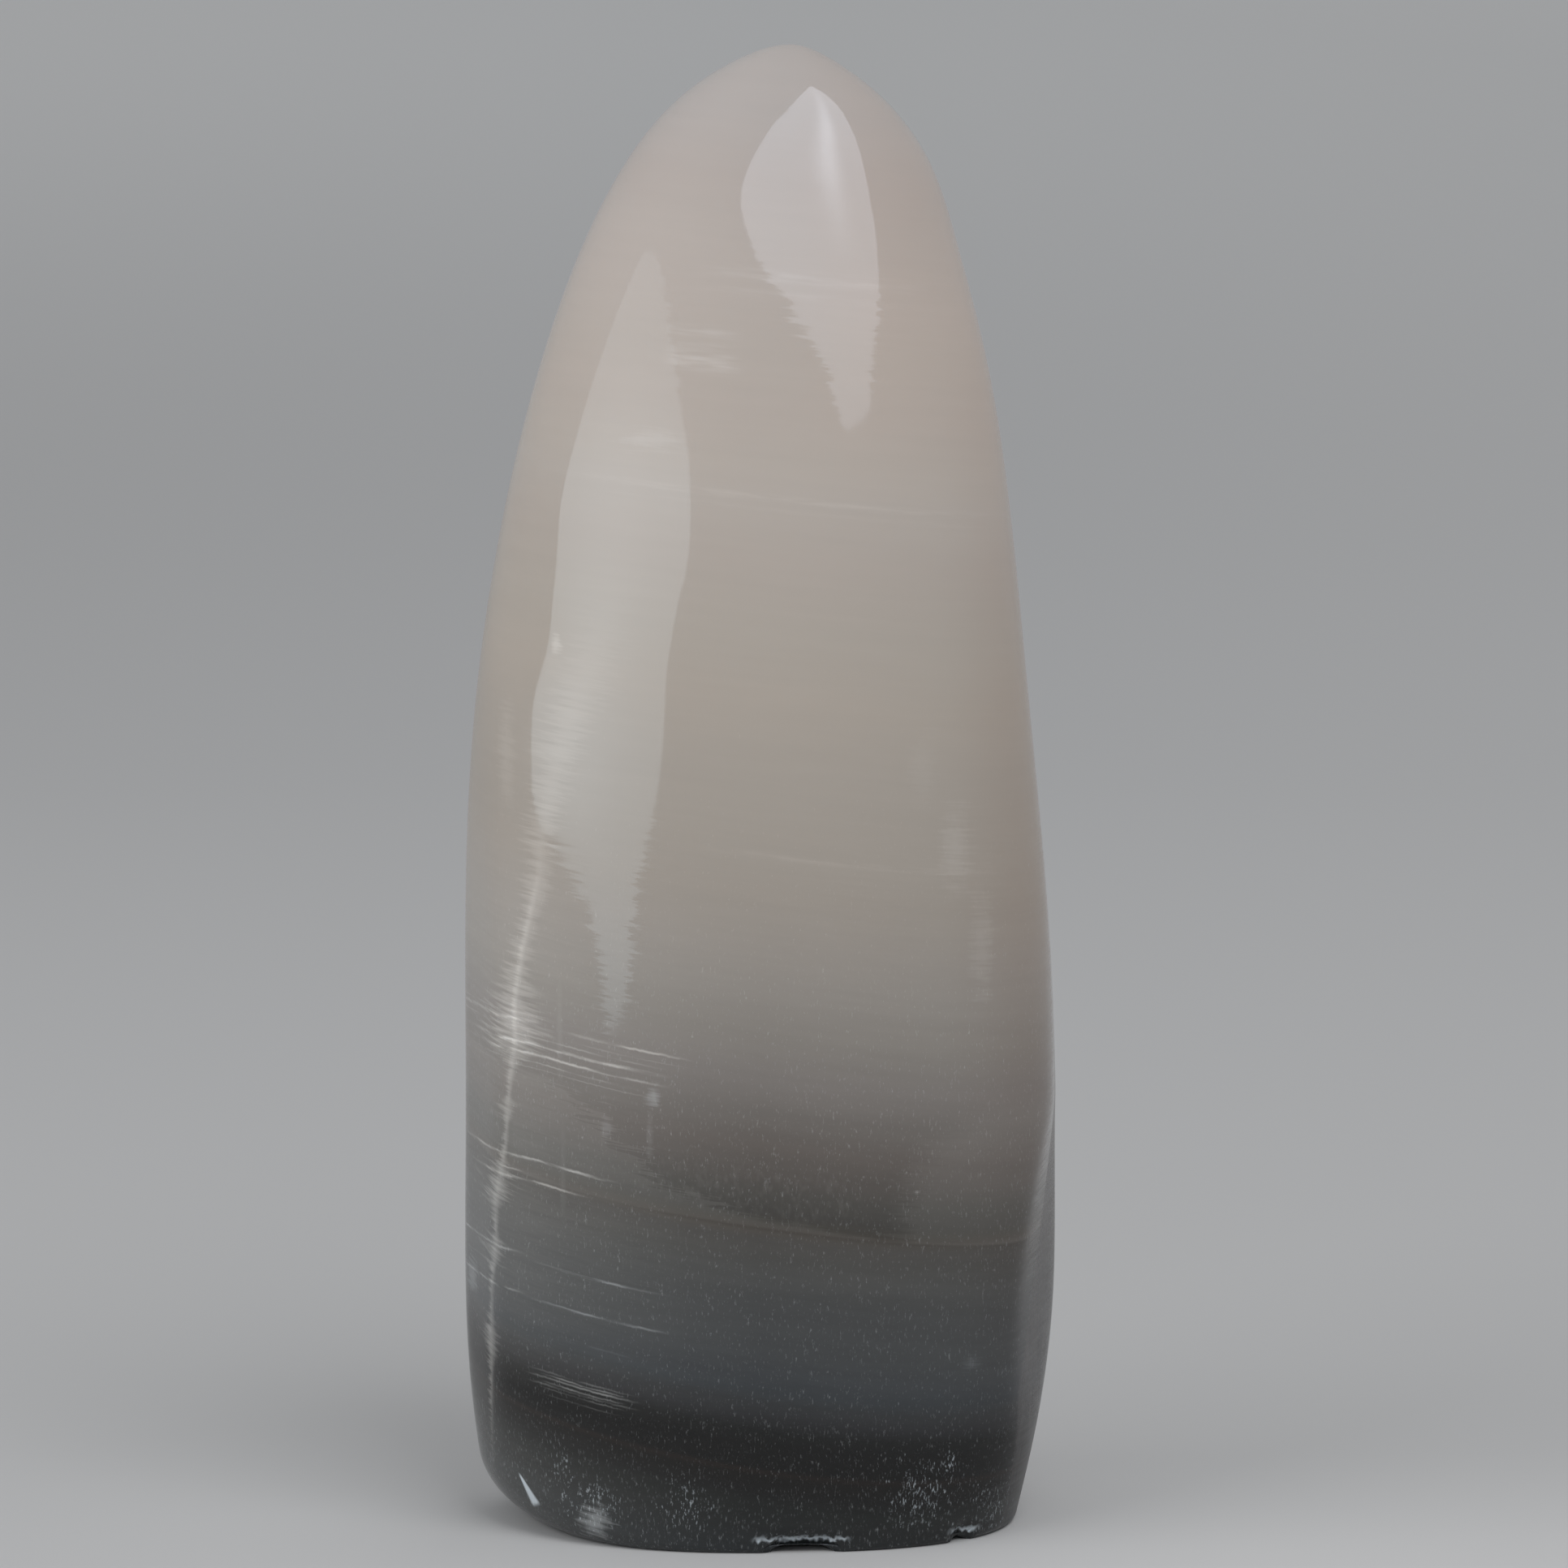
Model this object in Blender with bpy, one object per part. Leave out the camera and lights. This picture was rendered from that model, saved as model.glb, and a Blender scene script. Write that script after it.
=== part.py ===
# Polished freeform of banded calcite: one upright stone on a small flat foot.
# Lengths in the tables are millimetres, and the model is built in metres, +Z up.
# The origin is under the middle of the stone, on the surface it stands on.
# The side that the photograph shows faces -Y, with +X to its right.

import bmesh
import bpy
import numpy as np

MM = 0.001

# Driving dimensions, in millimetres and degrees
HEIGHT = 110.0

# Reach of the stone from its axis at a few heights, from the crown down to the foot
STATIONS = np.array(
    [
        # height, left, right, front, back
        (110.0, 2.2, 2.2, 0.3, 0.3),
        (109.0, -1.5, 5.1, -2.7, 3.2),
        (106.0, -6.1, 9.1, -6.4, 6.8),
        (101.0, -10.2, 12.7, -9.1, 9.4),
        (95.0, -13.3, 14.7, -10.8, 10.9),
        (86.0, -16.5, 17.0, -12.2, 12.3),
        (74.0, -19.4, 18.8, -13.3, 13.2),
        (60.0, -21.5, 20.2, -13.9, 13.9),
        (44.0, -22.5, 21.7, -14.3, 14.4),
        (28.0, -22.7, 22.6, -14.5, 14.5),
        (12.0, -22.3, 21.8, -14.4, 14.2),
        (0.0, -20.4, 19.2, -14.0, 13.7),
    ]
)

# Level sections are superellipses, squarer on the right than on the left
SQUARENESS = 2.25
SQUARENESS_SWING = 0.2

# Hand-ground flats on the narrow sides: bearing from +X, distance from the axis
FLATS = (
    (-20.0, 20.8),
    (200.0, 21.0),
    (24.0, 21.6),
    (158.0, 21.8),
)
FLAT_SHARPNESS = 60.0

# The edge round the foot is crisp, apart from a lifted heel on the left
FOOT_EDGE = 0.5
HEEL_EDGE = 4.5
HEEL_BEARING = 186.0
HEEL_SPREAD = 33.0

# Mesh rings from the middle of the foot up to the crown, and meridians
MERIDIANS = 72
FOOT_RINGS = 4
EDGE_RINGS = 5
BODY_RINGS = 53

# Chips along the front of the foot: place in plan, width, depth, height, turn in degrees
CHIPS = {
    "chip_middle": ((3.2, -14.2), 6.4, 1.3, 1.5, 3.0),
    "chip_right": ((15.1, -10.35), 2.4, 1.0, 1.3, 38.0),
}


def spline(x, knots, values):
    # Natural cubic through the stations, worked out for a whole array at once
    count = len(knots)
    step = np.diff(knots)
    slope = np.diff(values) / step
    inner = np.arange(1, count - 1)
    matrix = np.eye(count)
    matrix[inner, inner - 1] = step[:-1]
    matrix[inner, inner] = 2 * (step[:-1] + step[1:])
    matrix[inner, inner + 1] = step[1:]
    bend = np.linalg.solve(matrix, np.r_[0, 6 * np.diff(slope), 0])
    k = np.clip(np.searchsorted(knots, x) - 1, 0, count - 2)
    t = x - knots[k]
    first = slope[k] - step[k] * (2 * bend[k] + bend[k + 1]) / 6
    return values[k] + t * first + t**2 * bend[k] / 2 + t**3 * (bend[k + 1] - bend[k]) / (6 * step[k])


def reaches(z):
    # Left, right, front and back at height z; the root of the depth below the crown rounds it
    depth = np.sqrt(np.clip(1 - z / HEIGHT, 0, 1))
    knots = np.sqrt(1 - STATIONS[:, 0] / HEIGHT)
    return [spline(depth, knots, STATIONS[:, side]) for side in (1, 2, 3, 4)]


def edge_radius(bearing):
    # Radius of the edge round the foot, swelling to the heel on the left
    off = np.degrees(np.angle(np.exp(1j * (bearing - np.radians(HEEL_BEARING)))))
    return FOOT_EDGE + HEEL_EDGE * np.exp(-((off / HEEL_SPREAD) ** 2))


def section(z, bearing):
    # Centre of the level section at height z, and its radius in the direction of bearing
    left, right, front, back = reaches(z)
    middle_x = (left + right) / 2
    middle_y = (front + back) / 2
    across = np.maximum((right - left) / 2, 1e-6)
    deep = np.maximum((back - front) / 2, 1e-6)
    power = SQUARENESS + SQUARENESS_SWING * np.cos(bearing)
    cosine = np.abs(np.cos(bearing)) / across
    sine = np.abs(np.sin(bearing)) / deep
    radius = (cosine**power + sine**power) ** (-1 / power)
    for turn, distance in FLATS:
        way = np.radians(turn)
        room = distance - middle_x * np.cos(way) - middle_y * np.sin(way)
        share = np.clip(radius * np.cos(bearing - way) / room, 0, 3)
        radius = radius * (1 + share**FLAT_SHARPNESS) ** (-1 / FLAT_SHARPNESS)
    return middle_x, middle_y, radius


def stone_points(ring, bearing):
    # Ring 0 is the middle of the foot, and the last ring is the crown
    on_foot = np.clip(ring / FOOT_RINGS, 0, 1)
    turn = np.clip((ring - FOOT_RINGS) / EDGE_RINGS, 0, 1) * np.pi / 2
    rise = np.clip((ring - FOOT_RINGS - EDGE_RINGS) / BODY_RINGS, 0, 1)
    edge = edge_radius(bearing)
    low = edge * (1 - np.cos(turn))
    z = low + (HEIGHT - edge) * (1 - (1 - rise) ** 2)
    middle_x, middle_y, radius = section(z, bearing)
    radius = (radius - edge * (1 - np.sin(turn))) * on_foot
    x = middle_x + radius * np.cos(bearing)
    y = middle_y + radius * np.sin(bearing)
    return np.stack([x, y, z], axis=-1) * MM


def make_collection(name):
    collection = bpy.data.collections.new(name)
    bpy.context.scene.collection.children.link(collection)
    return collection


def make_material(name, colour, roughness, metallic):
    material = bpy.data.materials.new(name)
    material.use_nodes = True
    shader = material.node_tree.nodes["Principled BSDF"]
    shader.inputs["Base Color"].default_value = (*colour, 1.0)
    shader.inputs["Roughness"].default_value = roughness
    shader.inputs["Metallic"].default_value = metallic
    return material


def make_stone(collection):
    # A sphere whose rings and meridians are carried to the stone's own surface
    rings = FOOT_RINGS + EDGE_RINGS + BODY_RINGS
    bm = bmesh.new()
    bmesh.ops.create_uvsphere(bm, u_segments=MERIDIANS, v_segments=rings, radius=1.0)
    mesh = bpy.data.meshes.new("calcite_stone")
    bm.to_mesh(mesh)
    bm.free()
    ball = np.empty(len(mesh.vertices) * 3, np.float32)
    mesh.vertices.foreach_get("co", ball)
    ball = ball.reshape(-1, 3).astype(float)
    latitude = np.arctan2(ball[:, 2], np.hypot(ball[:, 0], ball[:, 1]))
    ring = np.round((latitude / np.pi + 0.5) * rings)
    bearing = np.arctan2(ball[:, 1], ball[:, 0])
    mesh.vertices.foreach_set("co", stone_points(ring, bearing).astype(np.float32).ravel())
    mesh.shade_smooth()
    mesh.set_sharp_from_angle(angle=np.radians(40.0))
    stone = bpy.data.objects.new("calcite_stone", mesh)
    collection.objects.link(stone)
    return stone


def chip_out(stone, name, collection):
    # A shallow scoop out of the foot's edge, cut by a flattened ball
    (x, y), width, depth, height, turn = CHIPS[name]
    bm = bmesh.new()
    bmesh.ops.create_uvsphere(bm, u_segments=14, v_segments=8, radius=0.5)
    mesh = bpy.data.meshes.new(name)
    bm.to_mesh(mesh)
    bm.free()
    cutter = bpy.data.objects.new(name, mesh)
    cutter.location = (x * MM, y * MM, 0.0)
    cutter.rotation_euler = (0.0, 0.0, np.radians(turn))
    cutter.scale = (width * MM, depth * MM, height * MM)
    cutter.hide_render = True
    cutter.display_type = "WIRE"
    collection.objects.link(cutter)
    cut = stone.modifiers.new(name, "BOOLEAN")
    cut.operation = "DIFFERENCE"
    cut.solver = "EXACT"
    cut.object = cutter


def main():
    for old in list(bpy.data.objects):
        bpy.data.objects.remove(old, do_unlink=True)
    parts = make_collection("calcite_freeform")
    cutters = make_collection("cutters")
    stone = make_stone(parts)
    stone.data.materials.append(make_material("polished_calcite", (0.33, 0.30, 0.28), 0.12, 0.0))
    for name in CHIPS:
        chip_out(stone, name, cutters)


main()
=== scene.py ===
import math

import bpy
import numpy as np
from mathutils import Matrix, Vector
from mathutils.bvhtree import BVHTree
from mathutils.interpolate import poly_3d_calc


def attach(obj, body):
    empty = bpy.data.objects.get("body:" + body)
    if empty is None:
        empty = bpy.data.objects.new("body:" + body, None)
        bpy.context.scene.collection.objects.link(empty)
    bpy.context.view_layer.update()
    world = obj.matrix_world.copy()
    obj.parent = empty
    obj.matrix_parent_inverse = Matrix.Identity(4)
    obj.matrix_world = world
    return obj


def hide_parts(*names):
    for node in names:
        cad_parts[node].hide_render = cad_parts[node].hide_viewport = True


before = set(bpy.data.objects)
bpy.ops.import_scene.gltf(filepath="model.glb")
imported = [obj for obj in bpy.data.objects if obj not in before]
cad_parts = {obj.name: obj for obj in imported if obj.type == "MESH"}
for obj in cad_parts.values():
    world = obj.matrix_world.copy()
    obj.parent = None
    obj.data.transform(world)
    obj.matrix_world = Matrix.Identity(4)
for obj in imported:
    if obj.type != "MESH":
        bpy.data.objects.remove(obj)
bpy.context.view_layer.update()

mm = 0.001
tiny = 1e-6  # keeps a division away from nought

# what the camera does, in mm and degrees; the stone stands at the origin and its front faces -Y
camera = dict(
    place=(1.75, -397.8, 92.1),
    lookDown=5.3,
    lens=122.8,
    sensor=36.0,
    nearest=0.01,  # nearest and farthest that it sees, in metres
    farthest=20.0,
    photoSide=1932,  # side of the photo in pixels
)

# the stone's main sizes in mm: the solid's own, but a little less at the left, so this finer surface
# stays in the solid's box
stone = dict(
    height=110.0,
    # height, then how far the outline reaches to the left, right, front and back
    stations=(
        (110.0, 2.2, 2.2, 0.3, 0.3),
        (109.0, -1.5, 5.1, -2.7, 3.2),
        (106.0, -6.1, 9.1, -6.4, 6.8),
        (101.0, -10.2, 12.7, -9.1, 9.4),
        (95.0, -13.3, 14.7, -10.8, 10.9),
        (86.0, -16.5, 17.0, -12.2, 12.3),
        (74.0, -19.4, 18.8, -13.3, 13.2),
        (60.0, -21.5, 20.2, -13.9, 13.9),
        (44.0, -22.41, 21.7, -14.3, 14.4),
        (28.0, -22.54, 22.6, -14.5, 14.5),
        (12.0, -22.3, 21.8, -14.4, 14.2),
        (0.0, -20.4, 19.2, -14.0, 13.7),
    ),
    squareness=2.25,
    squarenessSwing=0.2,
    # bearing and distance of each ground flat, then how far it turns and moves out higher up
    flats=((-20, 20.8, 14, 1.5), (200, 21.0, 0, 0), (24, 21.6, 0, 0), (158, 21.8, 0, 0)),
    flatTwist=(10.0, 32.0),  # heights between which it does so
    flatSharpness=60,
    footEdge=0.5,  # radius of the foot's edge
    heelEdge=4.5,  # how much more it is round the left heel
    heelBearing=186,
    heelSpread=33.0,
    around=416,
    footRings=6,
    edgeRings=16,
    bodyRings=214,
)

# waves left by hand grinding: their depth in mm; for each sine its turns round the stone, its length up the
# height and its start; and the lengths over which they fade at the foot and at the tip
ripples = dict(
    depth=0.035,
    waves=((3, 9.0, 0.0), (5, -6.5, 1.7), (2, 4.6, 0.6)),
    fade=(12, 25),
)

# flakes gone from the foot's edge: place, width, depth, height in mm, and the way it is turned
chips = dict(
    middle=((3.2, -14.2), 6.4, 1.3, 1.5, 3.0),
    right=((15.1, -10.35), 2.4, 1.0, 1.3, 38.0),
)
# a flake's hollow: its depth as a share of the flake's height, then how close, deep and smooth its waves are
hollow = dict(deep=0.55, shells=9, shellDepth=0.12, smooth=0.01)


# natural cubic curve through the knots: second slopes come from one small linear system
def curveThrough(x, knots, values):
    count = len(knots)
    step = np.diff(knots)
    slope = np.diff(values) / step
    inner = np.arange(1, count - 1)
    matrix = np.eye(count)
    matrix[inner, inner - 1] = step[:-1]
    matrix[inner, inner] = 2 * (step[:-1] + step[1:])
    matrix[inner, inner + 1] = step[1:]
    bend = np.linalg.solve(matrix, np.r_[0, 6 * np.diff(slope), 0])
    k = np.clip(np.searchsorted(knots, x) - 1, 0, count - 2)
    t = x - knots[k]
    first = slope[k] - step[k] * (2 * bend[k] + bend[k + 1]) / 6
    return values[k] + t * first + t**2 * bend[k] / 2 + t**3 * (bend[k + 1] - bend[k]) / (6 * step[k])


# reach of the outline to the left, right, front and back at a height:
# curves through the stations against the root of the depth below the tip, so the tip comes out round
def reachesAt(z):
    stations = np.array(stone["stations"])
    depth = np.sqrt(np.clip(1 - z / stone["height"], 0, 1))
    knots = np.sqrt(1 - stations[:, 0] / stone["height"])
    return [curveThrough(depth, knots, stations[:, side]) for side in (1, 2, 3, 4)]


# radius of the foot's rounded edge: small all round, with a bell-shaped rise at the left heel
def footEdgeAt(bearing):
    off = np.degrees(np.angle(np.exp(1j * (bearing - math.radians(stone["heelBearing"])))))
    return stone["footEdge"] + stone["heelEdge"] * np.exp(-((off / stone["heelSpread"]) ** 2))


# one level section in polar form: a superellipse between the reaches, held in softly by the ground flats
def sectionAt(z, bearing):
    left, right, front, back = reachesAt(z)
    middleX, middleY = (left + right) / 2, (front + back) / 2
    across, deep = np.maximum((right - left) / 2, tiny), np.maximum((back - front) / 2, tiny)
    power = stone["squareness"] + stone["squarenessSwing"] * np.cos(bearing)
    reach = (np.abs(np.cos(bearing)) / across) ** power + (np.abs(np.sin(bearing)) / deep) ** power
    radius = reach ** (-1 / power)
    low, high = stone["flatTwist"]
    twisted = np.clip((z - low) / (high - low), 0, 1) ** 2
    for turn, distance, twist, growth in stone["flats"]:
        way = np.radians(turn + twist * twisted)
        room = distance + growth * twisted - middleX * np.cos(way) - middleY * np.sin(way)
        share = np.clip(radius * np.cos(bearing - way) / room, 0, 3)
        radius = radius * (1 + share ** stone["flatSharpness"]) ** (-1 / stone["flatSharpness"])
    return middleX, middleY, radius


# hand-ground waves: a few slow sines in bearing and height, always inwards
def rippleAt(z, bearing):
    waves = sum(np.sin(turns * bearing + z / length + start) for turns, length, start in ripples["waves"])
    atFoot, atTip = ripples["fade"]
    fade = np.clip(z / atFoot, 0, 1) * np.clip((stone["height"] - z) / atTip, 0, 1)
    return ripples["depth"] * (1 + waves / len(ripples["waves"])) * fade


# heights of the body's rings as shares of the height, evenly spaced along the side's own length
def evenHeights(count):
    depth = np.linspace(1, 0, 2000)
    z = stone["height"] * (1 - depth**2)
    left, right, front, back = reachesAt(z)
    run = np.hypot(np.diff(z), np.diff((right - left + back - front) / 4))
    length = np.r_[0, np.cumsum(run)]
    return np.interp(np.linspace(0, length[-1], count + 1), length, z) / stone["height"]


# whole surface as a function of ring and bearing: out over the foot, round its edge, then up the side
def stonePoints(ring, bearing):
    onFoot = np.clip(ring / stone["footRings"], 0, 1)
    turn = np.clip((ring - stone["footRings"]) / stone["edgeRings"], 0, 1) * math.pi / 2
    bodyRing = np.clip(ring - stone["footRings"] - stone["edgeRings"], 0, stone["bodyRings"])
    rise = np.interp(bodyRing, np.arange(stone["bodyRings"] + 1), evenHeights(stone["bodyRings"]))
    edge = footEdgeAt(bearing)
    z = edge * (1 - np.cos(turn)) + (stone["height"] - edge) * rise
    middleX, middleY, radius = sectionAt(z, bearing)
    radius = (radius - edge * (1 - np.sin(turn))) * onFoot
    radius = radius - rippleAt(z, bearing) * np.clip(radius, 0, 1)
    return np.stack([middleX + radius * np.cos(bearing), middleY + radius * np.sin(bearing), z], -1)


# outward unit directions of a closed grid, from the cross product of its two sets of steps
def gridNormals(points):
    upward = np.gradient(points, axis=0)
    onward = (np.roll(points, -1, axis=1) - np.roll(points, 1, axis=1)) / 2
    normal = np.cross(onward, upward)
    return normal / np.maximum(np.linalg.norm(normal, axis=-1, keepdims=True), tiny)


# a flake's hollow: depth falls off as the root of a flattened ball's height, with faint shell-shaped waves
def chipDepth(points, chip):
    (x, y), width, depth, height, turn = chip
    c, s = math.cos(math.radians(turn)), math.sin(math.radians(turn))
    along = (points[..., 0] - x) * c + (points[..., 1] - y) * s
    inward = (points[..., 1] - y) * c - (points[..., 0] - x) * s
    share = (2 * along / width) ** 2 + (inward / depth) ** 2 + (points[..., 2] / height) ** 2
    ball = np.sqrt(np.clip(1 - share, 0, 1))
    shell = 1 + hollow["shellDepth"] * np.sin(hollow["shells"] * np.sqrt(share + hollow["smooth"]))
    return hollow["deep"] * height * ball * shell


# puts a closed grid into a mesh: quads between rings, with a fan of triangles at each pole
def meshFromRings(name, points, lowPole, highPole):
    rings, around = points.shape[:2]
    ids = np.arange(rings * around).reshape(rings, around)
    right = np.roll(ids, -1, axis=1)
    quads = np.stack([ids[:-1], right[:-1], right[1:], ids[1:]], -1).reshape(-1, 4)
    low, high = rings * around, rings * around + 1
    fanLow = np.stack([np.full(around, low), right[0], ids[0]], -1)
    fanHigh = np.stack([np.full(around, high), ids[-1], right[-1]], -1)
    corners = np.concatenate([quads.ravel(), fanLow.ravel(), fanHigh.ravel()])
    sizes = np.r_[np.full(len(quads), 4), np.full(2 * around, 3)]
    starts = np.r_[0, np.cumsum(sizes)[:-1]]
    mesh = bpy.data.meshes.new(name)
    mesh.vertices.add(rings * around + 2)
    mesh.vertices.foreach_set("co", np.concatenate([points.reshape(-1, 3), [lowPole, highPole]]).ravel() * mm)
    mesh.loops.add(len(corners))
    mesh.loops.foreach_set("vertex_index", corners.astype(np.int32))
    mesh.polygons.add(len(sizes))
    mesh.polygons.foreach_set("loop_start", starts.astype(np.int32))
    mesh.update(calc_edges=True)
    mesh.validate()
    mesh.shade_smooth()
    piece = bpy.data.objects.new(name, mesh)
    bpy.context.scene.collection.objects.link(piece)
    return piece


def buildStone():
    rings = stone["footRings"] + stone["edgeRings"] + stone["bodyRings"]
    ring, bearing = np.meshgrid(
        np.arange(1, rings), np.linspace(0, 2 * math.pi, stone["around"], endpoint=False), indexing="ij"
    )
    points = stonePoints(ring.astype(float), bearing)
    normals = gridNormals(points)
    for chip in chips.values():
        points = points - normals * chipDepth(points, chip)[..., None]
    points[..., 2] = np.clip(points[..., 2], 0, stone["height"])
    lowPole = stonePoints(np.array([0.0]), np.array([0.0]))[0]
    highPole = stonePoints(np.array([float(rings)]), np.array([0.0]))[0]
    piece = meshFromRings("calcite_freeform", points, lowPole, highPole)
    print("stone:", len(piece.data.polygons), "faces")
    return piece


# a shader socket that can be used in sums; each operator adds one Math node
class Wire:
    def __init__(self, shop, socket):
        self.shop = shop
        self.socket = socket

    def maths(self, operation, *others):
        inputs = dict(enumerate((self, *others)))
        return self.shop.node("ShaderNodeMath", {"operation": operation}, inputs)

    def __add__(self, other):
        return self.maths("ADD", other)

    def __sub__(self, other):
        return self.maths("SUBTRACT", other)

    def __rsub__(self, other):
        return self.shop.node("ShaderNodeMath", {"operation": "SUBTRACT"}, {0: other, 1: self})

    def __mul__(self, other):
        return self.maths("MULTIPLY", other)

    __radd__ = __add__
    __rmul__ = __mul__

    # another output of the same node
    def other(self, output):
        return Wire(self.shop, self.socket.node.outputs[output])

    # 0 up to the first value, 1 from the second on, smooth between; the first may be the larger
    def rise(self, low, high):
        settings = {"interpolation_type": "SMOOTHSTEP"}
        return self.shop.node("ShaderNodeMapRange", settings, {0: self, 1: low, 2: high})

    # straight run from 0 at the first value to 1 at the second
    def run(self, low, high):
        return self.shop.node("ShaderNodeMapRange", {}, {0: self, 1: low, 2: high})

    # 1 at the middle, falling smoothly to 0 at the width on both sides
    def bell(self, middle, width):
        return (self - middle).maths("ABSOLUTE").rise(width, 0.0)

    # 1 between two values, fading out over the soft length inside each
    def within(self, low, high, soft):
        return self.rise(low, low + soft) * self.rise(high, high - soft)


# a material under construction: one method makes any node, its settings first and then its sockets
class Shop:
    def __init__(self, name):
        self.material = bpy.data.materials.new(name)
        self.material.use_nodes = True
        self.tree = self.material.node_tree
        self.tree.nodes.clear()

    def node(self, kind, settings, inputs, output=0):
        made = self.tree.nodes.new(kind)
        for key, value in settings.items():
            if key == "stops":
                self.setStops(made.color_ramp, value)
            else:
                setattr(made, key, value)
        for key, value in inputs.items():
            if isinstance(value, Wire):
                self.tree.links.new(value.socket, made.inputs[key])
            else:
                made.inputs[key].default_value = value
        return Wire(self, made.outputs[output]) if len(made.outputs) else None

    def setStops(self, ramp, stops):
        while len(ramp.elements) < len(stops):
            ramp.elements.new(0.5)
        for element, (place, colour) in zip(ramp.elements, stops):
            element.position = place
            element.color = (*colour, 1.0)

    # a colour for each value, from stops of value and colour
    def ramp(self, value, stops):
        low, high = stops[0][0], stops[-1][0]
        placed = [((at - low) / (high - low), colour) for at, colour in stops]
        return self.node("ShaderNodeValToRGB", {"stops": placed}, {0: value.run(low, high)})

    # a number for each value, from stops of value and number; the ramp holds them as greys from 0 to 1
    def curve(self, value, stops):
        low, high = min(number for at, number in stops), max(number for at, number in stops)
        greys = [(at, 3 * ((number - low) / (high - low),)) for at, number in stops]
        return self.ramp(value, greys).maths("MULTIPLY_ADD", high - low, low)

    def scaled(self, colour, factor):
        return self.node("ShaderNodeVectorMath", {"operation": "SCALE"}, {0: colour, "Scale": factor})

    def mix(self, factor, below, above, blend="MIX"):
        above = above if isinstance(above, Wire) else (*above, 1)
        settings = {"data_type": "RGBA", "blend_type": blend}
        return self.node("ShaderNodeMix", settings, {0: factor, 6: below, 7: above}, 2)

    # cloudy noise about 0.5 whose grains have the given sizes in mm
    def noise(self, place, size, detail=2.0, roughness=0.5, shift=(0, 0, 0)):
        moved = self.node("ShaderNodeMapping", {}, {0: place, 1: shift, 3: [1 / s for s in size]})
        inputs = {"Vector": moved, "Scale": 1.0, "Detail": detail, "Roughness": roughness}
        return self.node("ShaderNodeTexNoise", {}, inputs)


# colours of the layers: level in mm, then red, green and blue; darker and finer towards the foot
layers = dict(
    slope=(0.14, -0.13),  # how much a level rises to the right and to the back
    fan=(35.0, 80.0, 0.10, -0.03),  # from the first height to the second the slope turns to this
    bow=(2.0, 0.0015),  # where across the bands sag most, and by how much per square mm
    wander=((26, 26, 14), 0.8),  # how far the bands wander: size of the noise, and mm up and down in all
    split=30.0,  # level where the second list of colours takes over
    foot=(
        (-6.0, (0.023, 0.026, 0.028)), (2.0, (0.019, 0.023, 0.025)), (4.0, (0.016, 0.018, 0.018)),
        (5.5, (0.012, 0.014, 0.013)), (6.5, (0.007, 0.007, 0.007)), (7.7, (0.005, 0.004, 0.003)),
        (8.0, (0.013, 0.008, 0.006)), (8.3, (0.002, 0.002, 0.002)), (10.0, (0.002, 0.002, 0.002)),
        (11.0, (0.005, 0.006, 0.006)), (12.0, (0.023, 0.024, 0.027)), (13.0, (0.034, 0.037, 0.040)),
        (14.0, (0.041, 0.048, 0.054)), (15.0, (0.050, 0.056, 0.062)), (17.0, (0.063, 0.068, 0.071)),
        (20.5, (0.070, 0.073, 0.074)), (22.5, (0.084, 0.085, 0.083)), (24.0, (0.089, 0.087, 0.082)),
        (25.3, (0.090, 0.085, 0.079)), (25.8, (0.094, 0.085, 0.075)), (26.1, (0.075, 0.065, 0.055)),
        (26.6, (0.067, 0.062, 0.053)), (27.2, (0.071, 0.067, 0.061)), (28.5, (0.089, 0.084, 0.076)),
        (30.0, (0.124, 0.111, 0.101)),
    ),
    body=(
        (30.0, (0.124, 0.111, 0.101)), (32.0, (0.158, 0.139, 0.126)), (34.0, (0.198, 0.180, 0.165)),
        (37.0, (0.271, 0.248, 0.231)), (40.0, (0.320, 0.295, 0.268)), (43.5, (0.383, 0.352, 0.320)),
        (46.0, (0.419, 0.381, 0.344)), (50.0, (0.460, 0.413, 0.365)), (53.5, (0.490, 0.442, 0.391)),
        (58.5, (0.517, 0.466, 0.413)), (63.5, (0.555, 0.495, 0.435)), (68.5, (0.571, 0.515, 0.458)),
        (73.5, (0.594, 0.530, 0.477)), (77.5, (0.623, 0.562, 0.511)), (80.0, (0.632, 0.567, 0.512)),
        (84.0, (0.632, 0.561, 0.508)), (88.0, (0.631, 0.564, 0.513)), (92.0, (0.634, 0.566, 0.520)),
        (96.0, (0.620, 0.556, 0.515)), (100.0, (0.594, 0.532, 0.497)), (105.0, (0.572, 0.526, 0.504)),
        (115.0, (0.540, 0.496, 0.474)),
    ),
    grain=((16.0, 16.0, 0.9), 2.0, 0.6),  # the fine layering: size along x, y and level, detail, roughness
    grainDepth=((-6.0, 0.25), (8.0, 0.5), (12.0, 0.22), (26.0, 0.14), (34.0, 0.07), (50.0, 0.03),
                (115.0, 0.02)),
)

# gentle tints that multiply the layers' colours: from where to where each grows across the front, the levels
# that it needs, and its colour
tints = dict(
    blush=((1.0, 9.0), (76.0, 92.0), (1.05, 1.02, 1.0)),  # grows from the first level to the second
    rightEdge=((12.5, 21.0), None, (0.93, 0.885, 0.87)),
    leftEdge=((-9.0, -15.0), (78.0, 22.0), (0.945, 0.945, 0.94)),  # strongest at the first, gone that far off
)

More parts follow.
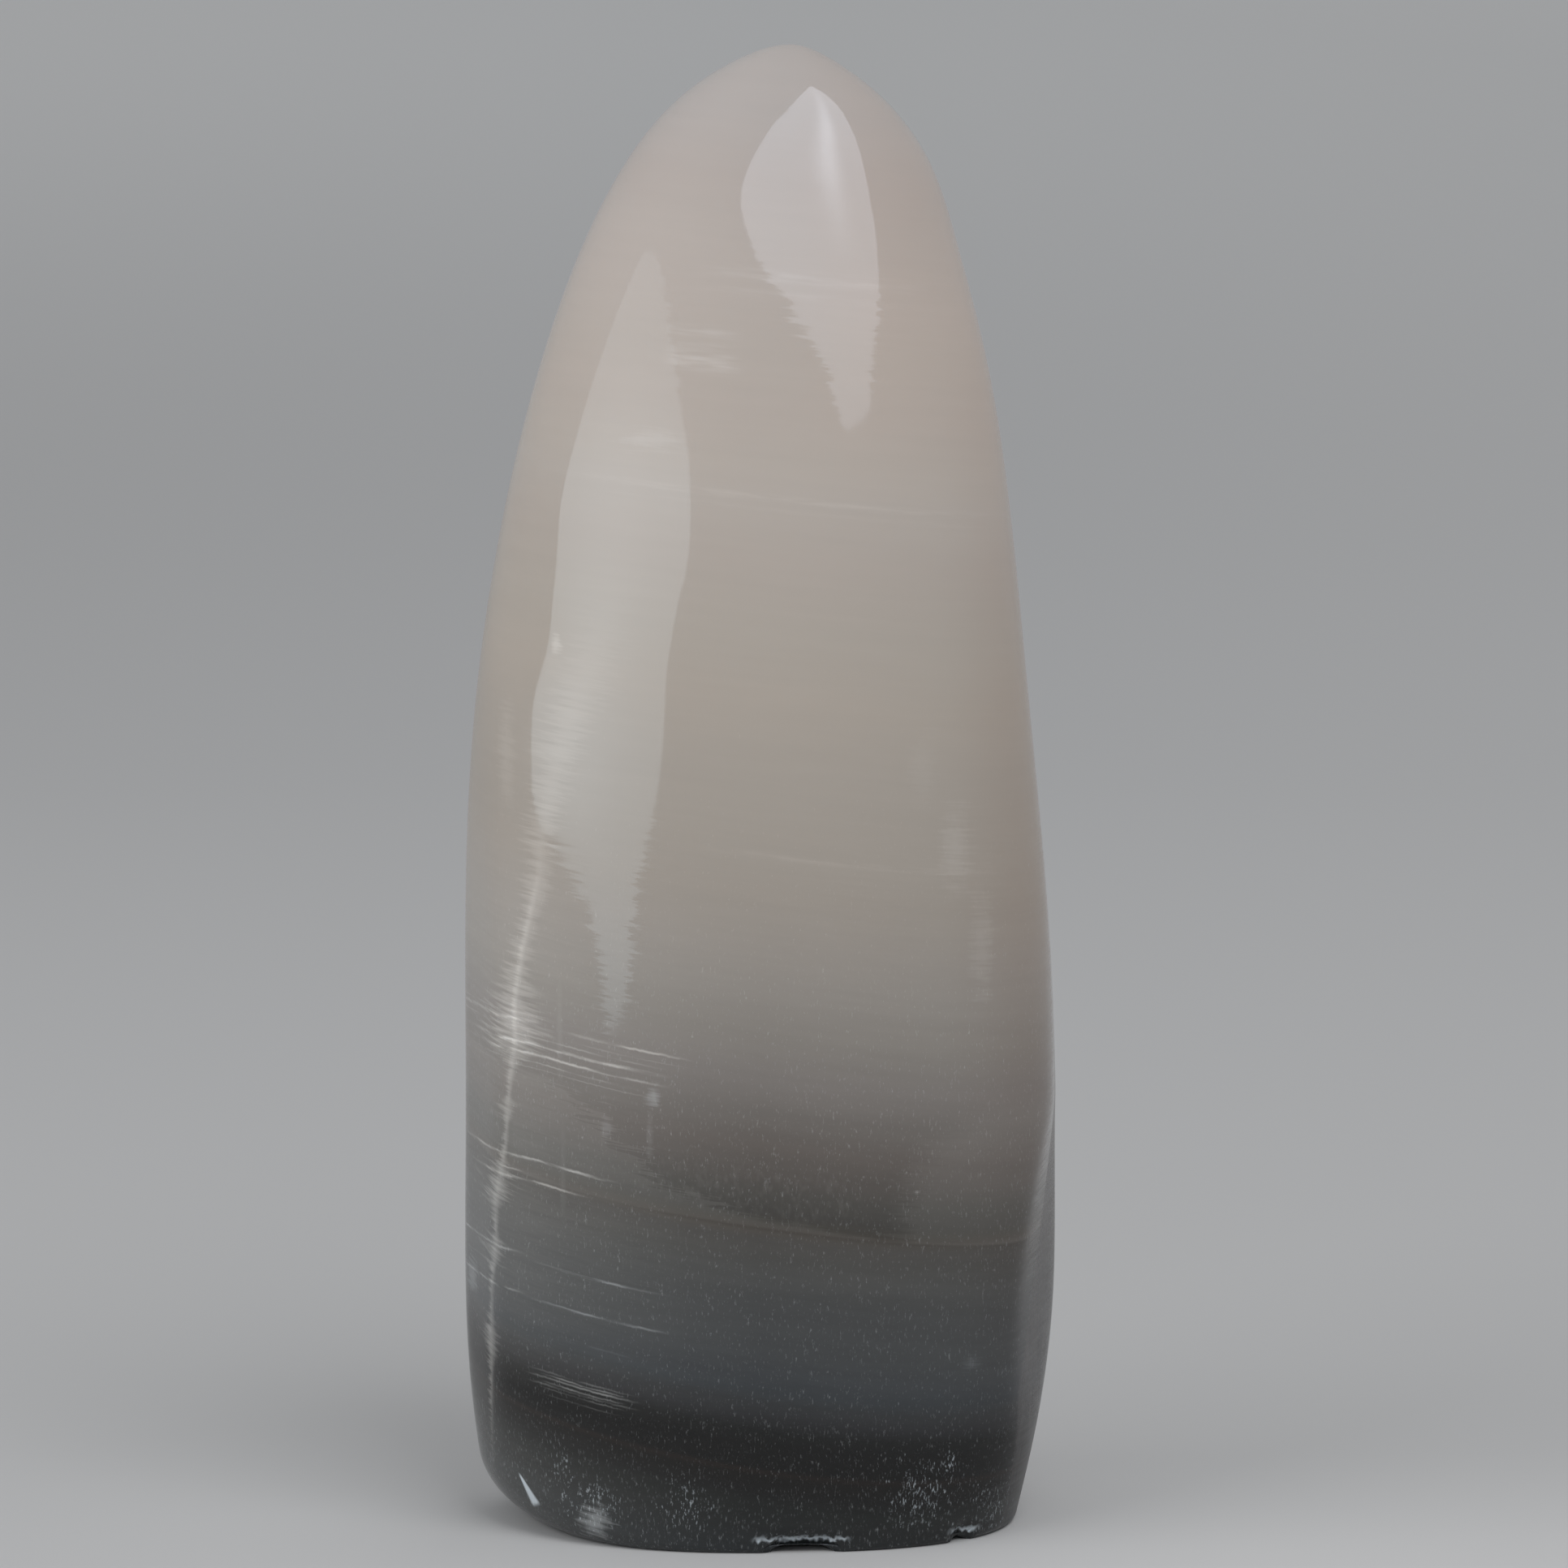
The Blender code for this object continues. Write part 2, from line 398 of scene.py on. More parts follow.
# the noises that the marks share: size of their grains in mm, detail, roughness and shift
noises = dict(
    threads=((4.0, 4.0, 0.28), 2.0, 0.7, (0, 2, 0)),
    fleecy=((0.5, 0.5, 0.9), 1.0, 0.7, (0, 0, 4)),
    flow=((3.0, 3.0, 0.30), 1.0, 0.5, (7, 0, 0)),
    grain=((0.15, 0.15, 0.44), 2.0, 0.7, (0, 3, 0)),
    streaks=((0.35, 0.35, 4.0), 1.0, 0.6, (0, 9, 0)),
)
fleecyReach = 1.6  # the fleecy noise is stretched to this, about nought

# white marks are warm or cold: what a full one adds to the colour, and the grains' share of each
marks = dict(warm=(1.0, 0.985, 0.94), cold=(0.90, 1.0, 1.08), warmGrains=0.4)

# the back carries the same kinds of marks: from which y on and full where, their strength, how they are
# turned round and squeezed across, and how much lower they lie, from no height to full
backMarks = dict(edge=3.0, full=6.0, strength=0.7, across=-1.4, lower=4.0, lowerFrom=(3.0, 14.0))

# milky haze inside the left flank and, thinner, the right: share across the width, amount by level
haze = dict(
    colour=(1.0, 0.985, 0.94),
    silky=0.5,  # how much the threads stir it
    across=((-22.5, 0.85), (-18.0, 1.0), (-14.0, 0.65), (-9.8, 0.40), (-5.0, 0.15), (0.0, 0.0),
            (10.0, 0.0), (16.0, 0.08), (18.5, 0.06), (22.5, 0.0)),
    byLevel=((-6.0, 0.058), (3.0, 0.059), (5.0, 0.045), (7.0, 0.028), (10.0, 0.014), (13.0, 0.055),
             (16.0, 0.080), (20.0, 0.106), (26.0, 0.105), (28.0, 0.131), (34.0, 0.141), (37.0, 0.124),
             (42.0, 0.117), (46.0, 0.082), (48.5, 0.055), (54.0, 0.000)),
)

# fine white strokes along the layers, in sets: the levels that a set spans; where each kind in it begins and
# ends across the front, with its share of blue; then every stroke's level, half thickness, amount and kind
strokes = dict(
    fan=((34.0, 38.5), ((-24.0, -15.6, 0.1), (-22.5, -6.0, 0.1), (-14.8, -4.0, 0.0)), (
        (37.68, 0.18, 0.20, 0), (38.15, 0.09, 0.08, 0), (37.10, 0.09, 0.09, 0), (36.05, 0.17, 0.32, 1),
        (35.32, 0.15, 0.28, 1), (34.72, 0.10, 0.14, 1), (36.55, 0.09, 0.11, 1), (34.30, 0.07, 0.08, 1),
        (37.55, 0.13, 0.24, 2), (36.95, 0.08, 0.06, 2),
    )),
    step=((25.2, 28.0), ((-23.0, -9.8, 0.1), (-22.0, -12.0, 0.0), (-21.0, -16.0, 0.0)), (
        (27.52, 0.15, 0.36, 0), (25.90, 0.14, 0.24, 1), (26.50, 0.10, 0.16, 2),
    )),
    slate=((16.4, 21.0), ((-17.4, -6.2, 0.6), (-24.0, -17.0, 0.3), (-24.0, -18.2, 0.3)), (
        (19.98, 0.13, 0.20, 0), (17.20, 0.13, 0.20, 0), (17.50, 0.13, 0.18, 1), (20.46, 0.13, 0.18, 1),
        (19.00, 0.10, 0.08, 2),
    )),
    bundle=((9.8, 15.2), ((-17.6, -8.4, 0.2), (-16.4, -9.6, 0.2), (-14.8, -9.0, 0.8)), (
        (12.04, 0.10, 0.13, 0), (11.80, 0.10, 0.28, 1), (11.58, 0.11, 0.20, 0), (11.24, 0.10, 0.26, 1),
        (11.04, 0.10, 0.18, 0), (10.78, 0.08, 0.12, 1), (10.30, 0.08, 0.06, 1), (14.85, 0.12, 0.06, 2),
    )),
    middle=((52.3, 53.1), ((-6.0, 20.0, 0.0),), ((52.70, 0.30, 0.035, 0),)),
    upper=((76.0, 95.0), ((-16.0, 21.0, 0.2), (-6.0, 13.0, 0.8), (-7.4, -0.8, 0.9)), (
        (77.60, 0.35, 0.040, 0), (76.80, 0.25, 0.015, 0), (93.40, 0.70, 0.045, 1), (92.10, 0.45, 0.022, 1),
        (88.90, 0.60, 0.050, 2), (86.80, 1.00, 0.085, 2), (87.90, 0.40, 0.030, 2),
    )),
)
strokeLook = dict(
    bend=(-15.0, 0.030),  # left of this place the strokes drop by this much per square mm
    ragged=0.09,  # how uneven their edges are, in mm
    flow=((0.25, 0.75), 1.5),  # between which noise they come and go, and how strong they get
    fade=0.3,  # share of a stroke's length over which each end fades
)

# the painted sheen line, a chatoyant highlight along the silky fibres: height, then where it runs across; how
# wide its feathers are; how strong they are
sheenLine = dict(
    wander=0.5,  # how far the threads move it, in mm
    lively=(0.22, 0.78),  # thread from which a feather shows, and with which it is full
    longer=(1.2, 0.25),  # a feather's length: what a full thread adds, and what each has
    stronger=(0.7, 0.4),  # its strength in the same way
    route=((4.9, -20.0), (12.2, -20.0), (16.1, -20.0), (18.8, -19.9), (21.8, -19.6), (24.8, -19.6),
           (29.2, -18.8), (33.1, -18.5), (37.2, -18.0), (40.3, -18.0), (44.0, -17.4), (49.5, -16.1),
           (52.6, -15.9), (55.9, -15.3), (59.0, -14.6), (62.0, -13.4), (67.4, -11.6), (70.1, -11.0),
           (75.0, -10.5)),
    width=((5.0, 0.15), (12.0, 0.25), (14.5, 1.0), (16.5, 0.3), (19.8, 0.3), (21.5, 1.5), (22.7, 0.3),
           (24.5, 0.7), (25.7, 1.8), (27.2, 1.6), (28.3, 0.4), (31.0, 0.3), (32.0, 1.2), (33.0, 0.3),
           (35.0, 0.6), (36.5, 2.6), (38.5, 3.2), (40.5, 2.0), (43.0, 1.2), (47.0, 1.1), (52.0, 1.8),
           (58.0, 2.6), (66.0, 3.2), (76.0, 3.0)),
    amount=((4.0, 0.0), (8.0, 0.05), (14.0, 0.20), (18.0, 0.08), (21.5, 0.20), (24.0, 0.10), (26.0, 0.26),
            (30.0, 0.10), (32.0, 0.16), (34.0, 0.08), (37.0, 0.24), (40.0, 0.20), (44.0, 0.13), (50.0, 0.11),
            (56.0, 0.10), (62.0, 0.06), (67.0, 0.02), (72.0, 0.0)),
    core=((3.0, 0.0), (8.0, 0.03), (14.0, 0.08), (18.0, 0.05), (24.0, 0.07), (28.0, 0.05), (34.0, 0.07),
          (38.0, 0.12), (44.0, 0.09), (50.0, 0.02), (54.0, 0.0)),
    coreWidth=0.36,
)

# soft spots and clouds: x and height, half width, half height, amount added, share of blue
spots = dict(
    pearl=(-7.7, 33.8, 0.75, 1.0, 0.16, 0.8),
    pearlTail=(-8.0, 31.0, 0.35, 2.6, 0.05, 0.6),
    pearlSmall=(-11.2, 31.2, 0.6, 1.2, 0.06, 0.7),
    fleck=(-14.8, 66.4, 0.5, 0.9, 0.12, 0.2),
    wing=(-18.6, 58.1, 0.9, 5.5, 0.05, 0.0),
    cloud=(14.2, 51.8, 1.6, 4.2, 0.060, 0.6),
    cloudTail=(16.2, 44.5, 1.2, 5.4, 0.050, 0.6),
    cloudTop=(11.8, 57.5, 1.4, 3.6, 0.022, 0.6),
    wisp=(-7.7, 81.2, 2.8, 1.1, 0.055, 1.0),
    # lamp: a painted reflection, a small bluish-white glint of a lamp on the dark foot
    lamp=(15.4, 13.6, 1.0, 0.7, 0.05, 0.9),
    column=(-14.6, 38.0, 0.30, 5.5, 0.032, 0.3),
    columnLow=(-14.4, 27.5, 0.30, 4.5, 0.026, 0.5),
    dot=(11.4, 26.6, 0.2, 0.2, 0.12, 0.2),
    edge=(-21.6, 18.3, 0.7, 1.8, 0.14, 0.5),
    bruise=(-12.1, 1.9, 1.5, 1.8, 0.24, 0.5),
)
spotEdge = dict(threads=1.8, fleecy=0.3)  # how uneven the two noises make a spot, in its half sizes

# dull places: the dark patch's ragged lower edge by x, and the paler lobe to its right in x and level
patch = dict(
    lower=((-14.0, 34.0), (-10.5, 30.5), (-8.0, 28.6), (-2.1, 27.2), (6.7, 26.5), (9.0, 26.3), (22.0, 26.2)),
    ragged=14.0,  # how far the threads move that edge across, in mm
    soft=(-0.1, 0.5),  # how far from it the paler place begins and is full
    paler=0.035,
    foot=(26.0, 26.25),  # level below which nothing is paler
    lobe=((20.0, 27.0), (10.6, 10.0)),
    lobeRagged=4.0,
    lobeSoft=(1.06, 0.78),  # share of its half sizes where it begins and is full
    lobePaler=0.036,
    mottleLevels=(26.3, 31.0, 1.6),  # where the flecks lie: from, to, and how softly
    mottleAcross=(-10.0, 9.0, 4.0),
    mottleSoft=(-0.1, 0.4),
    mottles=0.026,  # how much paler they are
)

# little white grains grown along the height: how high their noise must be for a faint and for a full one,
# their amount, and by level how much is added to the noise, so they lie closer
grains = dict(
    low=0.57, high=0.84, amount=0.17,
    closer=((-6.0, 0.035), (3.0, 0.025), (8.0, 0.0), (14.0, -0.005), (24.0, 0.0), (34.0, 0.0),
            (44.0, -0.03), (56.0, -0.08), (80.0, -0.25)),
)

# dust: the same noise gives its specks, and where it is thick they lie closer; a place ends at the reach,
# in its half sizes
dust = dict(amount=0.30, low=0.58, high=0.74, closer=0.07, reach=1.1)

# where dust clings to the foot: x and height, half width, half height, share
dustPlaces = dict(
    left=(-14.7, 5.6, 1.5, 2.4, 0.7),
    bruise=(-12.3, 3.4, 2.9, 2.4, 0.9),
    middle=(-5.4, 3.4, 2.6, 2.6, 0.9),
    right=(12.0, 4.0, 3.6, 3.2, 1.0),
    tip=(13.9, 6.4, 0.7, 1.4, 1.0),
    end=(17.3, 2.2, 2.6, 2.8, 0.8),
)

# a gaping crack in the left heel: its upper and lower end as x and height, half its width above and how much
# more below, the share of that which is fully white, the length over which its ends fade, and its amount
crack = dict(top=(-17.95, 4.8), low=(-16.45, 2.3), least=0.05, half=0.40, inner=0.4, ends=0.5, amount=0.6)

# white crust along the upper edge of a flake's hollow: its height and its ends in shares of the flake's size,
# half its thickness, how uneven it is and how softly it ends in mm, and its least amount
crust = dict(rise=0.70, left=0.62, right=0.56, half=0.30, uneven=0.6, soft=0.8, least=0.45)

# the cleaved strip on the right flank, painted darker as shade on this facet that turns away from the light:
# height, then the bearing in degrees where its crease runs
strip = dict(
    crease=((0.0, -21.0), (5.5, -21.3), (11.0, -22.6), (18.0, -16.0), (29.6, -7.0), (42.0, -3.0)),
    crisp=1.2,  # degrees over which it begins at the crease
    far=(30.0, 24.0),  # bearings where it has ended and where it begins to
    top=(42.0, 28.0),  # heights where it has ended and where it begins to
    inward=((0.0, 15.0), 0.8, 0.4),  # its strength grows between these heights by the first from the second
    # the painted shade of the turned-away facet
    colour=(0.115, 0.108, 0.108),
)

finish = dict(
    polish=0.05,
    footDull=((9.0, 2.0), 0.10),  # heights between which the foot grows duller, and by how much
    stripDull=0.22,
    speckDull=1.2,
    lean=(1.0, 0.5, 0.1),  # direction in which a thread tilts the surface
    stir=0.20,  # how far where the stone is silky, and where it isn't
    calm=0.012,
    silkyBelow=(58.0, 49.0),  # heights between which it grows silky
    silkyBand=(89.0, 8.0, 0.5),  # a silky band higher up: level, reach and strength
    ior=1.48,
    milky=0.25,  # share of the light that goes in, how far in metres, and its spread by colour
    scatter=0.004,
    scatterSpread=(1.0, 0.85, 0.75),
)


# level of the tilted layers in mm: height plus the slopes times x and y; the slopes open like a fan higher up
def levelOf(x, y, z):
    low, high, upperX, upperY = layers["fan"]
    slopeX, slopeY = layers["slope"]
    opened = z.run(low, high)
    return z + x * (opened * (upperX - slopeX) + slopeX) + y * (opened * (upperY - slopeY) + slopeY)


# the layers' own colours, with a slow wander, the fine layering and gentle tints at the sides
def layerColour(shop, bed, x, level):
    middle, sag = layers["bow"]
    size, reach = layers["wander"]
    bow = (x - middle) * (x - middle) * sag
    wandering = level - bow + (shop.noise(bed, size, 1.0) * reach - reach / 2)
    foot = shop.ramp(wandering, layers["foot"])
    body = shop.ramp(wandering, layers["body"])
    colour = shop.mix(wandering.maths("GREATER_THAN", layers["split"]), foot, body)
    layering = shop.noise(bed, *layers["grain"]) - 0.5
    colour = shop.scaled(colour, layering * shop.curve(level, layers["grainDepth"]) * 2.0 + 1.0)
    across, levels, tint = tints["blush"]
    colour = shop.mix(x.rise(*across) * level.rise(*levels), colour, tint, "MULTIPLY")
    across, _, tint = tints["rightEdge"]
    colour = shop.mix(x.rise(*across), colour, tint, "MULTIPLY")
    across, levels, tint = tints["leftEdge"]
    return shop.mix(x.rise(*across) * level.bell(*levels), colour, tint, "MULTIPLY")


# milky haze: share across times amount by level, a little silky
def hazeAmount(shop, threads, x, level):
    silky = threads * haze["silky"] + (1 - haze["silky"] / 2)
    return shop.curve(x, haze["across"]) * shop.curve(level, haze["byLevel"]) * silky


# how strongly one kind of stroke shows at a level: the highest of the tents over the strokes' levels
def tents(level, lines, kind):
    heights = [amount * max(0.0, 1 - abs(level - at) / half) for at, half, amount, k in lines if k == kind]
    return max(heights, default=0.0)


# all strokes together, ragged along their edges; a ramp's three colours hold the three kinds of one set
def strokeAmounts(shop, bed, fleecy, u, level):
    place, amount = strokeLook["bend"]
    left = (place - u).maths("MAXIMUM", 0.0)
    ragged = level + left * left * amount + fleecy * strokeLook["ragged"]
    between, most = strokeLook["flow"]
    flow = shop.noise(bed, *noises["flow"]).rise(*between) * most
    white, blue = 0.0, 0.0
    for (low, high), kinds, lines in strokes.values():
        levels = {low, high}
        for at, half, _, _ in lines:
            levels |= {at - half, at, at + half}
        stops = [(at, [tents(at, lines, kind) for kind in range(3)]) for at in sorted(levels)]
        found = shop.node("ShaderNodeSeparateColor", {}, {0: shop.ramp(ragged, stops)})
        for kind, (start, end, blueShare) in enumerate(kinds):
            line = found.other(kind) * u.within(start, end, strokeLook["fade"] * (end - start))
            white = line * (1 - blueShare) + white
            blue = line * blueShare + blue
    return white * flow, blue * flow


# the painted sheen line, a chatoyant highlight along the fibres: a fine core and feathers whose reach and
# strength change from thread to thread
def sheenLineAmount(shop, threads, u, h):
    wander = sheenLine["wander"]
    off = (u - shop.curve(h, sheenLine["route"]) + threads * wander - wander / 2).maths("ABSOLUTE")
    lively = threads.rise(*sheenLine["lively"])
    more, least = sheenLine["longer"]
    reach = shop.curve(h, sheenLine["width"]) * (lively * more + least)
    more, least = sheenLine["stronger"]
    feathers = off.rise(reach, 0.0) * shop.curve(h, sheenLine["amount"]) * (lively * more + least)
    core = off.rise(sheenLine["coreWidth"], 0.0) * shop.curve(h, sheenLine["core"]) * (lively + least)
    return feathers + core


# how far a point is from a place in the place's own half sizes
def awayFrom(shop, flat, middle, half):
    moved = shop.node("ShaderNodeMapping", {}, {
        0: flat, 1: (-middle[0] / half[0], -middle[1] / half[1], 0), 3: (1 / half[0], 1 / half[1], 0)
    })
    return shop.node("ShaderNodeVectorMath", {"operation": "LENGTH"}, {0: moved}, "Value")


# soft spots with edges made uneven by the threads and the fleecy noise; the white ones first, then the blue
def spotAmounts(shop, flat, threads, fleecy):
    reach = spotEdge["threads"]
    uneven = threads.maths("MULTIPLY_ADD", reach, -reach / 2) + fleecy * spotEdge["fleecy"]
    white, blue = 0.0, 0.0
    for middleU, middleH, halfU, halfH, amount, blueShare in spots.values():
        spot = (awayFrom(shop, flat, (middleU, middleH), (halfU, halfH)) + uneven).rise(1.0, 0.0)
        white = spot.maths("MULTIPLY_ADD", amount * (1 - blueShare), white)
        blue = spot.maths("MULTIPLY_ADD", amount * blueShare, blue)
    return white, blue


# little grains: specks where a noise stretched along the height is high
def grainAmount(shop, grain, level):
    raised = grain + shop.curve(level, grains["closer"])
    return raised.rise(grains["low"], grains["high"]) * grains["amount"]


# dust: specks where the noise is high, more of them where the places' shares are high
def dustAmount(shop, grain, flat, fleecy):
    share = 0.0
    for middleU, middleH, halfU, halfH, most in dustPlaces.values():
        away = awayFrom(shop, flat, (middleU, middleH), (halfU, halfH))
        dusty = (away + fleecy).rise(dust["reach"], 0.0)
        share = dusty.maths("MULTIPLY_ADD", most, share)
    specks = grain + share * dust["closer"]
    return specks.rise(dust["low"], dust["high"]) * share * dust["amount"]


# the crack: a line that opens downwards
def crackAmount(u, h):
    (topU, topH), (lowU, lowH) = crack["top"], crack["low"]
    length = math.hypot(lowU - topU, lowH - topH)
    c, s = (lowU - topU) / length, (lowH - topH) / length
    along = (u - topU) * c + (h - topH) * s
    across = (h - topH) * c - (u - topU) * s
    half = along.run(0.0, length).maths("MULTIPLY_ADD", crack["half"], crack["least"])
    opened = across.maths("ABSOLUTE").rise(half, half * crack["inner"])
    return opened * along.within(0.0, length, crack["ends"]) * crack["amount"]


# white crust where a flake has come off, along the upper edge of its hollow
def crustAmount(x, z, fleecy):
    amount = 0.0
    for (middle, _), width, _, height, _ in chips.values():
        line = (z + fleecy * crust["uneven"]).bell(crust["rise"] * height, crust["half"])
        start, end = middle - crust["left"] * width, middle + crust["right"] * width
        amount = line * x.within(start, end, crust["soft"]) * (fleecy + crust["least"]) + amount
    return amount


# paler where the dark patch ends: below its ragged edge, and in the lobe on the right
def palerAmount(shop, threads, fleecy, x, level):
    ragged = x + threads * patch["ragged"] - patch["ragged"] / 2
    above = level.rise(*patch["foot"])
    below = (shop.curve(ragged, patch["lower"]) - level).rise(*patch["soft"])
    across = x + threads * patch["lobeRagged"] - patch["lobeRagged"] / 2
    flat = shop.node("ShaderNodeCombineXYZ", {}, {0: across, 1: level})
    lobe = awayFrom(shop, flat, *patch["lobe"]).rise(*patch["lobeSoft"])
    inPatch = level.within(*patch["mottleLevels"]) * x.within(*patch["mottleAcross"])
    mottles = fleecy.rise(*patch["mottleSoft"]) * inPatch
    return (below * patch["paler"] + lobe * patch["lobePaler"]) * above + mottles * patch["mottles"]


# the polish is stirred by the threads along the layers: each tilts the surface a little sideways
def tilted(shop, threads, amount):
    tilt = shop.scaled(finish["lean"], (threads - 0.5) * amount)
    facing = shop.node("ShaderNodeNewGeometry", {}, {}, "Normal")
    turned = shop.node("ShaderNodeVectorMath", {"operation": "ADD"}, {0: facing, 1: tilt})
    return shop.node("ShaderNodeVectorMath", {"operation": "NORMALIZE"}, {0: turned})


# share of the cleaved strip: from its crease round to its far edge, and up to its top
def stripShare(shop, bearing, z):
    crease = shop.curve(z, strip["crease"])
    return (bearing - crease).rise(0.0, strip["crisp"]) * bearing.rise(*strip["far"]) * z.rise(*strip["top"])


# the strip's painted shade, in streaks along the height that follow its fibres, weaker near the foot
def stripShadeStreaks(shop, place, z):
    heights, more, least = strip["inward"]
    return shop.noise(place, *noises["streaks"]) * z.rise(*heights).maths("MULTIPLY_ADD", more, least)


def stoneMaterial():
    shop = Shop("banded_calcite")
    inMetres = shop.node("ShaderNodeTexCoord", {}, {}, "Object")
    place = shop.node("ShaderNodeVectorMath", {"operation": "SCALE"}, {0: inMetres, "Scale": 1 / mm})
    x = shop.node("ShaderNodeSeparateXYZ", {}, {0: place})
    y, z = x.other("Y"), x.other("Z")
    level = levelOf(x, y, z)
    bed = shop.node("ShaderNodeCombineXYZ", {}, {0: x, 1: y, 2: level})
    threads = shop.noise(bed, *noises["threads"])
    fleecy = shop.noise(bed, *noises["fleecy"]).maths("MULTIPLY_ADD", fleecyReach, -fleecyReach / 2)
    grain = shop.noise(place, *noises["grain"])

    # across and height as the marks read them, other than x and z only on the back
    behind = y.maths("GREATER_THAN", backMarks["edge"])
    inFront = y.rise(backMarks["edge"], 0.0)
    shown = inFront + y.rise(backMarks["edge"], backMarks["full"]) * backMarks["strength"]
    lower = behind * z.rise(*backMarks["lowerFrom"]) * backMarks["lower"]
    u = x * (behind * (backMarks["across"] - 1.0) + 1.0)
    h = z + lower
    flat = shop.node("ShaderNodeCombineXYZ", {}, {0: u, 1: h})

    colour = layerColour(shop, bed, x, level)
    white, blue = strokeAmounts(shop, bed, fleecy, u, level + lower)
    spotWhite, spotBlue = spotAmounts(shop, flat, threads, fleecy)
    # the painted sheen line: a chatoyant highlight along the silky fibres, added to the warm white marks
    sheen = sheenLineAmount(shop, threads, u, h)
    fine = grainAmount(shop, grain, level)
    dusty = dustAmount(shop, grain, flat, fleecy)
    milky = hazeAmount(shop, threads, x, level) + palerAmount(shop, threads, fleecy, x, level) * inFront
    warm = (white + sheen + spotWhite) * shown + fine * marks["warmGrains"]
    cold = (blue + spotBlue + crackAmount(u, h)) * shown + fine * (1 - marks["warmGrains"]) + dusty
    cold = cold + crustAmount(x, z, fleecy) * y.rise(0.0, -backMarks["edge"])
    colour = shop.mix(milky, colour, haze["colour"], "ADD")
    colour = shop.mix(warm, colour, marks["warm"], "ADD")
    colour = shop.mix(cold, colour, marks["cold"], "ADD")
    onStrip = stripShare(shop, y.maths("ARCTAN2", x) * math.degrees(1), z)
    # the right facet darkened in streaks: painted shade, with the streaks of its fibres
    colour = shop.mix(onStrip * stripShadeStreaks(shop, place, z), colour, strip["colour"])

    # the foot, the strip and the specks are duller; the threads stir the polish where the layers are silky
    heights, footDull = finish["footDull"]
    dull = z.rise(*heights) * footDull + onStrip * finish["stripDull"] + (fine + dusty) * finish["speckDull"]
    band, reach, strength = finish["silkyBand"]
    silky = z.rise(*finish["silkyBelow"]) + level.bell(band, reach) * strength
    normal = tilted(shop, threads, silky.maths("MULTIPLY_ADD", finish["stir"], finish["calm"]))
    shader = shop.node("ShaderNodeBsdfPrincipled", {}, {
        "Base Color": colour, "Roughness": dull + finish["polish"], "IOR": finish["ior"], "Normal": normal,
        "Subsurface Weight": finish["milky"], "Subsurface Radius": finish["scatterSpread"],
        "Subsurface Scale": finish["scatter"],
    })
    shop.node("ShaderNodeOutputMaterial", {}, {"Surface": shader})
    print("stone material:", len(shop.tree.nodes), "nodes")
    return shop.material


# floor and surroundings: one turned sheet, level in the middle and rising gently all round
backdrop = dict(
    level=0.6, reach=1.9, rise=0.42,  # in metres: how far it is level and reaches, and how high it rises
    inner=(0.01, 0.2),  # rings in the level middle
    rings=24,
    around=128,
    floor=(0.60, 0.603, 0.61),
    # front: a painted pool of light on the floor in front of the stone, offsetting its shadow there
    front=((0.018, -0.066), 0.12, (0.78, 0.78, 0.785)),  # lighter in front: middle and reach in m, colour
    above=(0.82, 0.825, 0.83),
    fade=(0.02, 0.20),  # heights in m between which the paper grows lighter
)


def buildBackdrop():
    radius = np.r_[backdrop["inner"], np.linspace(backdrop["level"], backdrop["reach"], backdrop["rings"])]
    share = np.clip((radius - backdrop["level"]) / (backdrop["reach"] - backdrop["level"]), 0, 1)
    bearing = np.linspace(0, 2 * math.pi, backdrop["around"], endpoint=False)
    points = np.stack([
        radius[:, None] * np.cos(bearing),
        radius[:, None] * np.sin(bearing),
        backdrop["rise"] * share[:, None] ** 2 + 0 * bearing,
    ], -1)
    rings, around = points.shape[:2]
    ids = np.arange(rings * around).reshape(rings, around)
    right = np.roll(ids, -1, axis=1)
    quads = np.stack([ids[:-1], ids[1:], right[1:], right[:-1]], -1).reshape(-1, 4)
    mesh = bpy.data.meshes.new("pale_floor")
    mesh.from_pydata(points.reshape(-1, 3).tolist(), [], quads.tolist() + [ids[0].tolist()])
    mesh.shade_smooth()
    floor = bpy.data.objects.new("pale_floor", mesh)
    bpy.context.scene.collection.objects.link(floor)
    shop = Shop("pale_paper")
    spot = shop.node("ShaderNodeSeparateXYZ", {}, {0: shop.node("ShaderNodeTexCoord", {}, {}, "Object")})
    higher = spot.other("Z").rise(*backdrop["fade"])
    paper = shop.ramp(higher, ((0.0, backdrop["floor"]), (1.0, backdrop["above"])))
    middle, reach, paintedLight = backdrop["front"]
    offX, offY = spot - middle[0], spot.other("Y") - middle[1]
    away = (offX * offX + offY * offY).maths("SQRT")
    # the painted pool of light in front of the stone
    paper = shop.mix(away.rise(reach, 0.0), paper, paintedLight)
    shader = shop.node("ShaderNodeBsdfDiffuse", {}, {"Color": paper})
    shop.node("ShaderNodeOutputMaterial", {}, {"Surface": shader})
    mesh.materials.append(shop.material)


def buildCamera():
    data = bpy.data.cameras.new("photo_camera")
    data.lens = camera["lens"]
    data.sensor_width = camera["sensor"]
    data.clip_start, data.clip_end = camera["nearest"], camera["farthest"]
    eye = bpy.data.objects.new("photo_camera", data)
    eye.location = Vector(camera["place"]) * mm
    eye.rotation_euler = (math.radians(90 - camera["lookDown"]), 0, 0)
    bpy.context.scene.collection.objects.link(eye)
    bpy.context.scene.camera = eye


